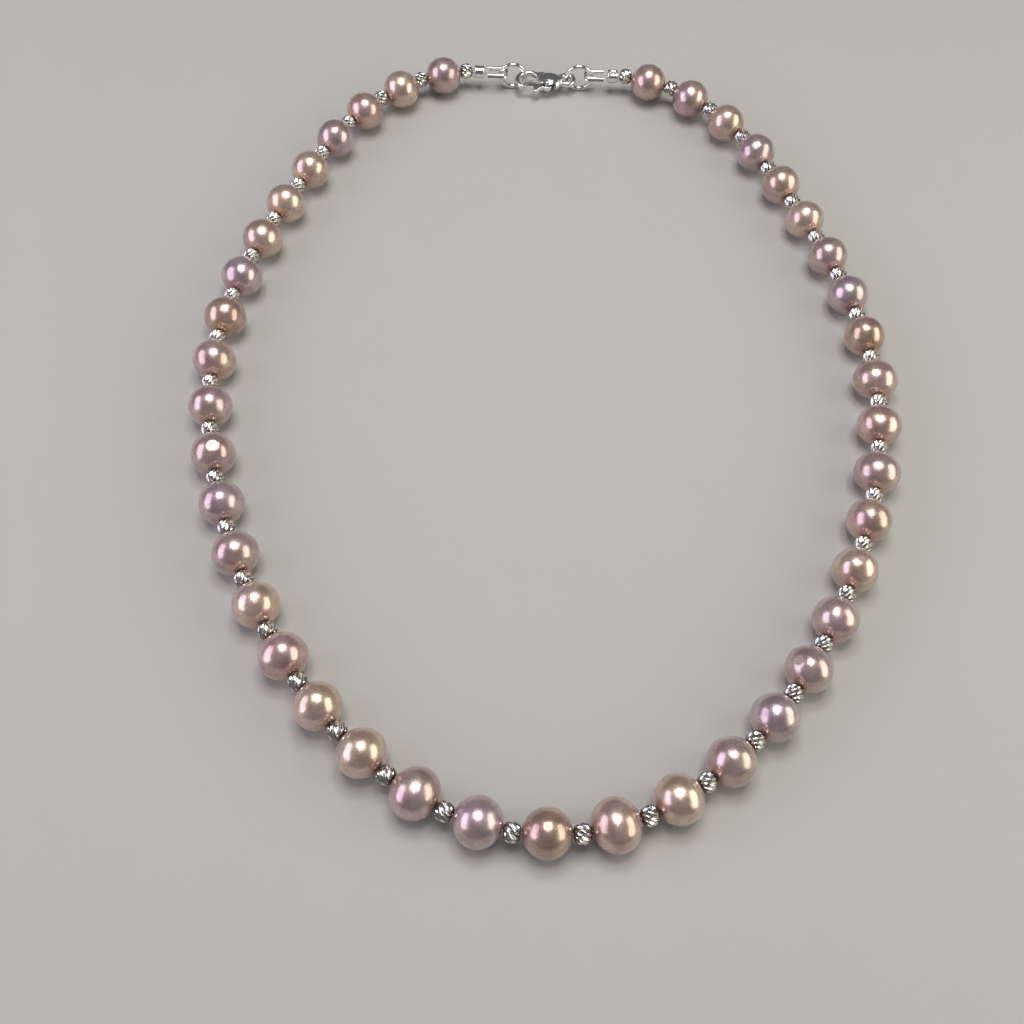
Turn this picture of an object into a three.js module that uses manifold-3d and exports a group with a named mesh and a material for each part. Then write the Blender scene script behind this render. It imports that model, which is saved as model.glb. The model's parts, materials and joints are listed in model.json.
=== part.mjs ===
// A strand of drilled pearls with a small silver bead between each two, on beading wire, closed by a
// lobster clasp. It lies flat in its wearing loop: the front is at -Y, the clasp is at the back, at +Y.
// Millimetres, +Z up. The origin is under the middle of the loop, on the surface that it lies on.
import * as THREE from "three";
import { mergeVertices } from "three/addons/utils/BufferGeometryUtils.js";
import Module from "manifold-3d";

const wasm = await Module();
wasm.setup();

// ---- driving dimensions ----
const PEARL_RADIUS = 3.6;
const PEARL_LENGTH = 6.1; // along the strand, from mouth to mouth
const PEARL_HOLE_RADIUS = 0.55;
const PEARLS_PER_STRETCH = [5, 6, 6, 7, 6, 6, 5]; // left back, round the front, to right back
const BEAD_RADIUS = 1.5;
const BEAD_LENGTH = 2.6;
const BEAD_END_RADIUS = 0.7;
const WIRE_RADIUS = 0.23;
const GAP = 0.3; // between neighbours on the strand
const STRAND_HEIGHT = PEARL_RADIUS;

const CRIMP_RADIUS = 1.3;
const CRIMP_LENGTH = 2;
const CRIMP_HOLE_RADIUS = 0.55;
const GUARD_WIRE_RADIUS = 0.35;
const GUARD_HALF_WIDTH = 1.1;
const GUARD_LEG = 2.55;

const RING_RADIUS = 2.5; // to the middle of its wire
const RING_WIRE_RADIUS = 0.4;
const RING_HEIGHT = RING_RADIUS + RING_WIRE_RADIUS + 0.05; // clear of the surface
const END_RING_X = -5.76; // ring middles, measured in the clasp's own frame
const JUMP_RING_X = 7.26;
const RING_TO_GUARD = 1.18; // from a ring's middle to the guard's bend inside it

const CLASP_SHIFT = -0.75; // sets the two crimps at equal distances from the middle
const CLASP_HEIGHT = 2.3; // middle plane of the clasp
const ARM_THICKNESS = 1.1;
const BODY_THICKNESS = 2.6;
const SLOT_THICKNESS = 1.5;
const LEVER_THICKNESS = 0.9;
const THROAT = { x: -2.6, y: -0.6, inner: 1.75, outer: 2.75, tipAngle: 232 };
const EYE = { x: 4.9, y: 0, inner: 0.95, outer: 1.85 };
const PIVOT = { x: 1, y: -2.1 };
const PIN_RADIUS = 0.35;
const PIN_HOLE_RADIUS = 0.47;

// Half of the loop's outline, from the middle of the front to the last bead at the back.
const HALF_OUTLINE = [
  [0, -0.3],
  [13.6, 2.6],
  [28.6, 13.4],
  [39.8, 28.2],
  [47.9, 45],
  [53, 63],
  [54.4, 81],
  [51.2, 99.5],
  [45.1, 117],
  [37.4, 134],
  [31.6, 141.5],
  [24.5, 147.2],
  [15.65, 150.3],
];

// The nacre's body colour, and the tone of each pearl from the left back round the front.
const TONES = { peach: 0xdcbfae, rose: 0xd8b5ab, mauve: 0xd0b3b0, lavender: 0xcab6bb, bronze: 0xc79f84 };
const PEARL_TONES = [
  ...["mauve", "peach", "rose", "lavender", "peach"],
  ...["peach", "rose", "lavender", "bronze", "rose", "mauve"],
  ...["mauve", "lavender", "mauve", "peach", "rose", "peach"],
  ...["peach", "mauve", "lavender", "bronze", "rose", "peach", "mauve"],
  ...["lavender", "mauve", "mauve", "peach", "rose", "mauve"],
  ...["rose", "rose", "bronze", "lavender", "mauve", "peach"],
  ...["rose", "lavender", "peach", "mauve", "rose"],
];

// ---- materials ----
const pearl = (tone) => new THREE.MeshStandardMaterial({ color: TONES[tone], roughness: 0.18, metalness: 0.1 });
const silver = () => new THREE.MeshStandardMaterial({ color: 0xd8dadd, roughness: 0.12, metalness: 1 });
const steel = () => new THREE.MeshStandardMaterial({ color: 0x9a9da3, roughness: 0.35, metalness: 1 });

// ---- solids ----
function toSolid(geometry) {
  const bare = geometry.clone();
  bare.deleteAttribute("normal");
  bare.deleteAttribute("uv");
  const merged = mergeVertices(bare, 1e-4);
  return new wasm.Manifold(
    new wasm.Mesh({
      numProp: 3,
      vertProperties: merged.attributes.position.array,
      triVerts: new Uint32Array(merged.index.array),
    }),
  );
}

function toGeometry(solid) {
  const mesh = solid.getMesh();
  const geometry = new THREE.BufferGeometry();
  geometry.setAttribute("position", new THREE.BufferAttribute(mesh.vertProperties, 3));
  geometry.setIndex(new THREE.BufferAttribute(mesh.triVerts, 1));
  return geometry;
}

// A turned shape about the X axis; each profile point is [radius, x], and x rises along the profile.
function turned(profile, segments) {
  const points = profile.map(([radius, x]) => new THREE.Vector2(radius, x));
  const geometry = new THREE.LatheGeometry(points, segments);
  return geometry.rotateZ(-Math.PI / 2);
}

function extruded(shape, thickness, middle, curveSegments = 6) {
  const geometry = new THREE.ExtrudeGeometry(shape, { depth: thickness, bevelEnabled: false, curveSegments });
  return geometry.translate(0, 0, middle - thickness / 2);
}

function polygon(sides, radius) {
  const shape = new THREE.Shape();
  for (let i = 0; i < sides; i += 1) {
    const angle = (2 * Math.PI * (i + 0.5)) / sides;
    shape[i ? "lineTo" : "moveTo"](radius * Math.cos(angle), radius * Math.sin(angle));
  }
  shape.closePath();
  return shape;
}

function circle(x, y, radius) {
  return new THREE.Shape().absarc(x, y, radius, 0, 2 * Math.PI, false);
}

// A path of straight legs, with one step of its parameter for each leg.
class LeggedPath extends THREE.Curve {
  constructor(points) {
    super();
    this.points = points;
  }

  getPoint(t, target = new THREE.Vector3()) {
    const place = t * (this.points.length - 1);
    const leg = Math.min(Math.max(Math.floor(place), 0), this.points.length - 2);
    return target.lerpVectors(this.points[leg], this.points[leg + 1], place - leg);
  }

  getPointAt(u, target) {
    return this.getPoint(u, target);
  }

  getTangentAt(u, target) {
    return this.getTangent(u, target);
  }
}

function wireThrough(points, radius, sides) {
  const path = new LeggedPath(points);
  return new THREE.ExtrudeGeometry(polygon(sides, radius), { steps: points.length - 1, extrudePath: path });
}

// Turns a shape made along +X into the direction given, level with the surface, and moves it to its place.
function placed(geometry, place, direction) {
  const angle = Math.atan2(direction.y, direction.x);
  return geometry.rotateZ(angle).translate(place.x, place.y, place.z);
}

function named(name, geometry, material) {
  const mesh = new THREE.Mesh(geometry, material);
  mesh.name = name;
  return mesh;
}

// ---- the strand's lay ----
const PEARLS = PEARLS_PER_STRETCH.reduce((sum, count) => sum + count, 0);

function beadPlaces() {
  const left = HALF_OUTLINE.slice(1).reverse().map(([x, y]) => [-x, y]);
  const outline = [...left, ...HALF_OUTLINE].map(([x, y]) => new THREE.Vector3(x, y, STRAND_HEIGHT));
  const curve = new THREE.CatmullRomCurve3(outline, false, "centripetal");
  curve.arcLengthDivisions = 2000;
  return curve.getSpacedPoints(PEARLS);
}

const beads = beadPlaces();
const heading = (from, to) => new THREE.Vector3().subVectors(to, from).normalize();
const legs = beads.slice(1).map((place, i) => heading(beads[i], place));
const along = (place, direction, distance) => place.clone().addScaledVector(direction, distance);

// ---- pearls ----
function pearlGeometry() {
  const half = PEARL_LENGTH / 2;
  const mouth = Math.asin(PEARL_HOLE_RADIUS / PEARL_RADIUS);
  const axisRadius = half / Math.cos(mouth);
  const steps = 6;
  const profile = [];
  for (let i = 0; i <= steps; i += 1) {
    const angle = Math.PI - mouth - (i * (Math.PI - 2 * mouth)) / steps;
    profile.push([PEARL_RADIUS * Math.sin(angle), axisRadius * Math.cos(angle)]);
  }
  profile.push([PEARL_HOLE_RADIUS, -half]);
  return turned(profile, 10);
}

function pearlMesh(index) {
  const middle = beads[index].clone().lerp(beads[index + 1], 0.5);
  const name = "pearl_" + String(index + 1).padStart(2, "0");
  return named(name, placed(pearlGeometry(), middle, legs[index]), pearl(PEARL_TONES[index]));
}

// ---- stretches of wire with their silver beads ----
function beadGeometry() {
  const half = BEAD_LENGTH / 2;
  const shoulder = half * 0.36;
  const profile = [
    [0, -half],
    [BEAD_END_RADIUS, -half],
    [BEAD_RADIUS, -shoulder],
    [BEAD_RADIUS, shoulder],
    [BEAD_END_RADIUS, half],
    [0, half],
  ];
  return turned(profile, 8);
}

function beadSolid(index) {
  const before = legs[Math.max(index - 1, 0)];
  const after = legs[Math.min(index, legs.length - 1)];
  const direction = before.clone().add(after).normalize();
  return toSolid(placed(beadGeometry(), beads[index], direction));
}

// One rigid stretch: pearls first to last sit on it. side is -1 left, 0 front, 1 right. A side stretch
// starts inside the pearl nearest the front, and its beads are on the far side of each pearl.
function stretchMesh(name, first, last, side) {
  const firstBead = side > 0 ? first + 1 : first;
  const lastBead = side < 0 ? last : last + 1;
  const route = beads.slice(firstBead, lastBead + 1).map((place) => place.clone());
  const toPearlMouth = BEAD_LENGTH / 2 + GAP;
  const intoCrimp = BEAD_LENGTH / 2 + GAP + CRIMP_LENGTH * 0.7;
  if (side > 0) route.unshift(along(beads[first], legs[first], toPearlMouth));
  if (side < 0) route.push(along(beads[last + 1], legs[last], -toPearlMouth));
  if (first === 0) route.unshift(along(beads[0], new THREE.Vector3(1, 0, 0), intoCrimp));
  if (last === PEARLS - 1) route.push(along(beads[PEARLS], new THREE.Vector3(-1, 0, 0), intoCrimp));
  let solid = toSolid(wireThrough(route, WIRE_RADIUS, 6));
  for (let i = firstBead; i <= lastBead; i += 1) solid = solid.add(beadSolid(i));
  return named(name, toGeometry(solid), steel());
}

function stretches() {
  const names = ["left_3", "left_2", "left_1", "front", "right_1", "right_2", "right_3"];
  const meshes = [];
  let first = 0;
  PEARLS_PER_STRETCH.forEach((count, i) => {
    meshes.push(stretchMesh("wire_" + names[i], first, first + count - 1, Math.sign(i - 3)));
    first += count;
  });
  return meshes;
}

// ---- findings: crimps, wire guards and rings, placed along X at the back ----
const backY = beads[0].y;
const crimpX = beads[PEARLS].x - BEAD_LENGTH / 2 - GAP - CRIMP_LENGTH / 2;

function crimpMesh(name, side) {
  const half = CRIMP_LENGTH / 2;
  const profile = [
    [CRIMP_HOLE_RADIUS, -half],
    [CRIMP_RADIUS * 0.85, -half],
    [CRIMP_RADIUS, -half * 0.4],
    [CRIMP_RADIUS, half * 0.4],
    [CRIMP_RADIUS * 0.85, half],
    [CRIMP_HOLE_RADIUS, half],
    [CRIMP_HOLE_RADIUS, -half],
  ];
  return named(name, turned(profile, 10).translate(side * crimpX, backY, STRAND_HEIGHT), silver());
}

// A horseshoe of wire: its bend is at bendX, inside the ring, and its legs run out to the crimp.
function guardMesh(name, bendX, side) {
  const r = GUARD_HALF_WIDTH;
  const middle = bendX + side * r;
  const legEnd = middle + side * GUARD_LEG;
  const path = [new THREE.Vector3(legEnd, r, 0)];
  const bendSteps = 6;
  for (let i = 0; i <= bendSteps; i += 1) {
    const angle = Math.PI / 2 + (i * Math.PI) / bendSteps;
    path.push(new THREE.Vector3(middle + side * r * Math.cos(angle), r * Math.sin(angle), 0));
  }
  path.push(new THREE.Vector3(legEnd, -r, 0));
  return named(name, wireThrough(path, GUARD_WIRE_RADIUS, 8).translate(0, backY, STRAND_HEIGHT), silver());
}

// A ring standing across the strand's line, so that it links two level loops.
function ringMesh(name, x) {
  const profile = [];
  const sides = 8;
  for (let i = 0; i <= sides; i += 1) {
    const angle = (-2 * Math.PI * i) / sides;
    profile.push([RING_RADIUS + RING_WIRE_RADIUS * Math.cos(angle), RING_WIRE_RADIUS * Math.sin(angle)]);
  }
  const geometry = turned(profile.reverse(), 18).rotateZ(Math.PI / 2);
  return named(name, geometry.translate(x, backY, RING_HEIGHT), silver());
}

// ---- lobster clasp, in its own frame: x along the strand, y across it ----
const clasp = (geometry) => geometry.translate(CLASP_SHIFT, backY, 0);
const radians = (degrees) => (degrees * Math.PI) / 180;

function clawOutline() {
  const tip = radians(THROAT.tipAngle);
  const shape = new THREE.Shape();
  shape.moveTo(THROAT.x + THROAT.outer * Math.cos(tip), THROAT.y + THROAT.outer * Math.sin(tip));
  shape.absarc(THROAT.x, THROAT.y, THROAT.outer, tip, radians(55), true);
  shape.lineTo(1.7, 1.6);
  shape.absarc(EYE.x, EYE.y, EYE.outer, radians(130), radians(-130), true);
  shape.lineTo(1.7, -2.9);
  shape.lineTo(0, -2.4);
  shape.absarc(THROAT.x, THROAT.y, THROAT.inner, radians(-40), tip, false);
  shape.closePath();
  shape.holes.push(circle(EYE.x, EYE.y, EYE.inner));
  return shape;
}

function claspBodyMesh() {
  const belly = new THREE.Shape();
  belly.absellipse(1.7, -0.75, 2.3, 2.35, 0, 2 * Math.PI, false, 0);
  const slot = new THREE.BoxGeometry(4.9, 3.1, SLOT_THICKNESS).translate(0.75, -2.45, CLASP_HEIGHT);
  const pinHole = extruded(circle(PIVOT.x, PIVOT.y, PIN_HOLE_RADIUS), 2 * BODY_THICKNESS, CLASP_HEIGHT, 6);
  const solid = toSolid(extruded(clawOutline(), ARM_THICKNESS, CLASP_HEIGHT))
    .add(toSolid(extruded(belly, BODY_THICKNESS, CLASP_HEIGHT, 10)))
    .subtract(toSolid(slot))
    .subtract(toSolid(pinHole));
  return named("clasp_body", clasp(toGeometry(solid)), silver());
}

function claspLeverMesh() {
  const shape = new THREE.Shape();
  shape.moveTo(-3.35, -1.9);
  shape.lineTo(-3.35, -2.7);
  shape.lineTo(-1.6, -2.7);
  shape.lineTo(-1.7, -3.8);
  shape.lineTo(-1, -3.9);
  shape.lineTo(-0.2, -2.75);
  shape.absarc(PIVOT.x, PIVOT.y, 1, radians(215), radians(165), false);
  shape.closePath();
  shape.holes.push(circle(PIVOT.x, PIVOT.y, PIN_HOLE_RADIUS));
  return named("clasp_lever", clasp(extruded(shape, LEVER_THICKNESS, CLASP_HEIGHT)), silver());
}

function leverPinMesh() {
  const pin = extruded(circle(PIVOT.x, PIVOT.y, PIN_RADIUS), BODY_THICKNESS, CLASP_HEIGHT);
  return named("lever_pin", clasp(pin), steel());
}

// A bowed leaf in the slot behind the lever's root.
function leverSpringMesh() {
  const leaf = new THREE.Shape();
  leaf.absarc(0.9, PIVOT.y, 1.7, radians(-35), radians(40), false);
  leaf.absarc(0.9, PIVOT.y, 1.5, radians(40), radians(-35), true);
  leaf.closePath();
  return named("lever_spring", clasp(extruded(leaf, LEVER_THICKNESS, CLASP_HEIGHT)), steel());
}

// ---- assembly ----
const necklace = new THREE.Group();
for (let i = 0; i < PEARLS; i += 1) necklace.add(pearlMesh(i));
necklace.add(...stretches());

const endRingX = CLASP_SHIFT + END_RING_X;
const jumpRingX = CLASP_SHIFT + JUMP_RING_X;
necklace.add(crimpMesh("crimp_left", -1));
necklace.add(crimpMesh("crimp_right", 1));
necklace.add(guardMesh("wire_guard_left", endRingX - RING_TO_GUARD, -1));
necklace.add(guardMesh("wire_guard_right", jumpRingX + RING_TO_GUARD, 1));
necklace.add(ringMesh("end_ring", endRingX));
necklace.add(ringMesh("jump_ring", jumpRingX));
necklace.add(claspBodyMesh());
necklace.add(claspLeverMesh());
necklace.add(leverPinMesh());
necklace.add(leverSpringMesh());

// The frame's origin is under the middle of the whole loop.
const box = new THREE.Box3().setFromObject(necklace, true);
necklace.position.set(0, -(box.min.y + box.max.y) / 2, -box.min.z);

const group = new THREE.Group();
group.add(necklace);
export default group;
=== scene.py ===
"""A strand of drilled pearls with a small bright-cut silver bead between each two, closed by a lobster
clasp, laid flat in its wearing loop on a pale surface. Metres, +Z up, the clasp at +Y."""

import json
import math
import random

import bmesh
import bpy
from mathutils import Matrix, Vector


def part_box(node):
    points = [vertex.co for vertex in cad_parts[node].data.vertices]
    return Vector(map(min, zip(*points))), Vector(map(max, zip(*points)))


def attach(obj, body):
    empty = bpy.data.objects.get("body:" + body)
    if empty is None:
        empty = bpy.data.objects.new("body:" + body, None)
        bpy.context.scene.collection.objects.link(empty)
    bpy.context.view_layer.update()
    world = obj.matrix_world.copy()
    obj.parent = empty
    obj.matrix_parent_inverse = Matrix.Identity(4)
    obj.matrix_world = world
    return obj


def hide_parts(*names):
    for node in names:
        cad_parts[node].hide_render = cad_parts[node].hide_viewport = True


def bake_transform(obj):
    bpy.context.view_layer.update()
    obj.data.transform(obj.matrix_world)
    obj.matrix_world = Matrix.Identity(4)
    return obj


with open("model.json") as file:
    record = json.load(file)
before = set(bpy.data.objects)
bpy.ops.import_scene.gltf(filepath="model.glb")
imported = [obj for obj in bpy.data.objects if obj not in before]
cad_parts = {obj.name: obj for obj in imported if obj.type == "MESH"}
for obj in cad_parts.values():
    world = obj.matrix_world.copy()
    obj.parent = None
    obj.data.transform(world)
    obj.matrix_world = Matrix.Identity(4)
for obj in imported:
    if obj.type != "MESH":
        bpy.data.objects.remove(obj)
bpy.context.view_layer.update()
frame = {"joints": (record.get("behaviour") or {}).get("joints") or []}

MM = 0.001
TURN = 2 * math.pi

# ---- driving sizes, in metres ----
PEARL_RADIUS = 3.6 * MM
PEARL_LENGTH = 6.74 * MM
PEARL_HOLE = 0.5 * MM
BEAD_RADIUS = 1.45 * MM
BEAD_LENGTH = 2.34 * MM
BEAD_END = 0.55 * MM
BEAD_HOLE = 0.42 * MM
BEAD_CUTS = 9
BEAD_CUT_DEPTH = 0.27 * MM
BEAD_CUT_SKEW = 0.8
WIRE_RADIUS = 0.2 * MM
WIRE_TWISTS_PER_METRE = 420
WIRE_STOP = 2.2 * MM  # past the middle of the pearl that hides the end of a stretch of wire
FLEX_REACH = 1.8 * MM  # how near the middle of that pearl a flex piece ends
WIRE_SPREAD = 0.22 * MM  # half the distance between the two wires in a crimp
GUARD_MARGIN = 0.35 * MM  # from a guard's side to the wire that it lines
CRIMP_RADIUS = 1.24 * MM
CRIMP_HOLE = 0.5 * MM
GUARD_OUTER = 0.42 * MM
GUARD_INNER = 0.29 * MM
RING_WIRE = 0.4 * MM
RING_RADIUS = 2.5 * MM
RING_SPLIT = 1.3  # degrees

PEARLS_PER_STRETCH = [5, 6, 6, 7, 6, 6, 5]
STRETCHES = ["left_3", "left_2", "left_1", "front", "right_1", "right_2", "right_3"]
PEARLS = sum(PEARLS_PER_STRETCH)
MIDDLE_PEARL = (PEARLS + 1) // 2

# The tone of each pearl from the left back round the front.
PEARL_TONES = [
    *["mauve", "peach", "rose", "lavender", "peach"],
    *["peach", "rose", "lavender", "bronze", "rose", "mauve"],
    *["mauve", "lavender", "mauve", "peach", "rose", "peach"],
    *["peach", "mauve", "lavender", "bronze", "rose", "peach", "mauve"],
    *["lavender", "mauve", "mauve", "peach", "rose", "mauve"],
    *["rose", "rose", "bronze", "lavender", "mauve", "peach"],
    *["rose", "lavender", "peach", "mauve", "rose"],
]


# ---- node trees ----
class Socket:
    """The output of a node, which can be used in sums as a number can."""

    def __init__(self, tree, output):
        self.tree = tree
        self.output = output

    def other(self, name):
        """Another output of the same node."""
        return Socket(self.tree, self.output.node.outputs[name])

    def __add__(self, other):
        return self.tree.maths("ADD", self, other)

    def __radd__(self, other):
        return self.tree.maths("ADD", other, self)

    def __sub__(self, other):
        return self.tree.maths("SUBTRACT", self, other)

    def __rsub__(self, other):
        return self.tree.maths("SUBTRACT", other, self)

    def __mul__(self, other):
        return self.tree.maths("MULTIPLY", self, other)

    def __rmul__(self, other):
        return self.tree.maths("MULTIPLY", other, self)

    def __truediv__(self, other):
        return self.tree.maths("DIVIDE", self, other)

    def __rtruediv__(self, other):
        return self.tree.maths("DIVIDE", other, self)

    def __pow__(self, other):
        return self.tree.maths("POWER", self, other)

    def __neg__(self):
        return self.tree.maths("MULTIPLY", self, -1.0)

    def __abs__(self):
        return self.tree.maths("ABSOLUTE", self)


class Tree:
    """Fills a node tree; every node in it is made by node()."""

    def __init__(self, target):
        self.target = target

    def node(self, kind, settings=None, *values, **named):
        """A new node with its settings, its usable inputs in order or by name; gives its first output."""
        made = self.target.nodes.new(kind)
        for name, value in (settings or {}).items():
            setattr(made, name, value)
        usable = [socket for socket in made.inputs if socket.enabled]
        for socket, value in zip(usable, values):
            self.feed(socket, value)
        for name, value in named.items():
            wanted = name.replace("_", " ")
            self.feed(next(socket for socket in usable if socket.name == wanted), value)
        first = next((socket for socket in made.outputs if socket.enabled), None)
        return Socket(self, first) if first else made

    def feed(self, socket, value):
        if isinstance(value, Socket):
            self.target.links.new(value.output, socket)
        elif value is not None:
            socket.default_value = value

    def maths(self, operation, *values):
        return self.node("ShaderNodeMath", {"operation": operation}, *values)

    def vector(self, operation, *values):
        return self.node("ShaderNodeVectorMath", {"operation": operation}, *values)

    def combine(self, x, y, z):
        return self.node("ShaderNodeCombineXYZ", None, x, y, z)

    def separate(self, value):
        first = self.node("ShaderNodeSeparateXYZ", None, value)
        return first, first.other("Y"), first.other("Z")

    def smooth(self, value, low, high, at_low=0.0, at_high=1.0):
        settings = {"interpolation_type": "SMOOTHSTEP"}
        return self.node("ShaderNodeMapRange", settings, value, low, high, at_low, at_high)

    def noise(self, place, scale, detail=2.0, roughness=0.5, distortion=0.0):
        names = {"Scale": scale, "Detail": detail, "Roughness": roughness, "Distortion": distortion}
        return self.node("ShaderNodeTexNoise", None, place, **names)


class GeometryTree(Tree):
    """A geometry node tree with named inputs; grown() runs it on a mesh."""

    def __init__(self, name, inputs):
        group = bpy.data.node_groups.new(name, "GeometryNodeTree")
        super().__init__(group)
        group.interface.new_socket("Geometry", in_out="OUTPUT", socket_type="NodeSocketGeometry")
        group.interface.new_socket("Geometry", in_out="INPUT", socket_type="NodeSocketGeometry")
        for label, value in inputs.items():
            kinds = {bool: "Bool", int: "Int", float: "Float", tuple: "Vector"}
            kind = "NodeSocket" + kinds[type(value)]
            group.interface.new_socket(label, in_out="INPUT", socket_type=kind).default_value = value
        group.interface.new_socket("Material", in_out="INPUT", socket_type="NodeSocketMaterial")
        self.entry = self.node("NodeGroupInput")

    def __getitem__(self, label):
        return self.entry.other(label)

    def grid(self, columns, rows):
        """A flat grid, and for each vertex its column and row number."""
        grid = self.node("GeometryNodeMeshGrid", None, 1.0, 1.0, columns + 1, rows + 1)
        x, y, _ = self.separate(self.node("GeometryNodeInputPosition"))
        return grid, (x + 0.5) * float(columns), (y + 0.5) * float(rows)

    def circle(self, points):
        settings = {"mode": "RADIUS"}
        return self.node("GeometryNodeCurvePrimitiveCircle", settings, Resolution=points, Radius=1.0)

    def even_curve(self):
        """The carrier's path as a smooth curve of even steps."""
        path = self.node("GeometryNodeMeshToCurve", None, Mesh=self["Geometry"])
        curved = self.node("GeometryNodeCurveSplineType", {"spline_type": "CATMULL_ROM"}, Curve=path)
        settings = {"mode": "LENGTH"}
        return self.node("GeometryNodeResampleCurve", settings, Curve=curved, Length=self["Step"])

    def stored(self, geometry, name, kind, value):
        settings = {"data_type": kind, "domain": "POINT"}
        return self.node(
            "GeometryNodeStoreNamedAttribute", settings, Geometry=geometry, Name=name, Value=value
        )

    def moved(self, geometry, place):
        return self.node("GeometryNodeSetPosition", None, Geometry=geometry, Position=place)

    def closed(self, geometry):
        return self.node("GeometryNodeMergeByDistance", None, Geometry=geometry, Distance=1e-6)

    def turned_about_z(self, place, angle):
        settings = {"rotation_type": "Z_AXIS"}
        return self.node("ShaderNodeVectorRotate", settings, Vector=place, Angle=angle)

    def finished(self, geometry, smooth=True):
        """Closes the tree: real geometry, its shading and its material."""
        real = self.node("GeometryNodeRealizeInstances", None, Geometry=geometry)
        shaded = self.node("GeometryNodeSetShadeSmooth", None, Geometry=real, Shade_Smooth=smooth)
        named = {"Geometry": shaded, "Material": self["Material"]}
        self.node("NodeGroupOutput", None, self.node("GeometryNodeSetMaterial", None, **named))
        return self


def grown(tree, carrier_mesh, material, **values):
    """The mesh that the tree makes from the carrier, with its faces turned outward."""
    carrier = bpy.data.objects.new("carrier", carrier_mesh)
    bpy.context.scene.collection.objects.link(carrier)
    modifier = carrier.modifiers.new("shape", "NODES")
    modifier.node_group = tree.target
    given = {name.replace("_", " "): value for name, value in values.items()}
    given["Material"] = material
    for item in tree.target.interface.items_tree:
        if item.in_out == "INPUT" and item.name in given:
            modifier[item.identifier] = given[item.name]
    depsgraph = bpy.context.evaluated_depsgraph_get()
    mesh = bpy.data.meshes.new_from_object(carrier.evaluated_get(depsgraph))
    bpy.data.objects.remove(carrier)
    bpy.data.meshes.remove(carrier_mesh)
    if material.name not in [m.name for m in mesh.materials if m]:
        mesh.materials.clear()
        mesh.materials.append(material)
    return outward(mesh)


def outward(mesh):
    edit = bmesh.new()
    edit.from_mesh(mesh)
    bmesh.ops.recalc_face_normals(edit, faces=edit.faces)
    edit.to_mesh(mesh)
    edit.free()
    return mesh


def path_mesh(points, closed=False):
    mesh = bpy.data.meshes.new("path")
    edges = [(i, i + 1) for i in range(len(points) - 1)]
    if closed:
        edges.append((len(points) - 1, 0))
    mesh.from_pydata([tuple(p) for p in points], edges, [])
    return mesh


def piece(name, mesh, body, slot, *nodes):
    """Shows the mesh as one piece that rides on the body and stands for the nodes."""
    shown = bpy.data.objects.new(name, mesh)
    mesh.name = name
    bpy.context.scene.collection.objects.link(shown)
    if body:
        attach(shown, body)
    if nodes:
        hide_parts(*nodes)
    return shown


# ---- materials ----
def shader_tree(name):
    material = bpy.data.materials.new(name)
    material.use_nodes = True
    material.node_tree.nodes.clear()
    return material, Tree(material.node_tree)


def finish_shader(tree, constants, **fed):
    shader = tree.node("ShaderNodeBsdfPrincipled", None, **fed)
    for name, value in constants.items():
        shader.output.node.inputs[name].default_value = value
    tree.node("ShaderNodeOutputMaterial", None, shader)


def mixed(tree, factor, first, second):
    """A blend of two colours."""
    return tree.node("ShaderNodeMix", {"data_type": "RGBA"}, factor, first, second)


def rgb(hex_colour):
    """A screen colour such as 0xd8b5ab as linear light."""
    shares = [((hex_colour >> shift) & 255) / 255 for shift in (16, 8, 0)]
    return [*(s / 12.92 if s <= 0.04045 else ((s + 0.055) / 1.055) ** 2.4 for s in shares), 1.0]


NACRE = {
    "peach": (0xDCC4B0, 0xAA8975),
    "rose": (0xD3B5A9, 0xA07D6E),
    "mauve": (0xCBB1AD, 0x977972),
    "lavender": (0xC7B0B6, 0x91787B),
    "bronze": (0xC2A08D, 0x8C6A54),
}


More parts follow.
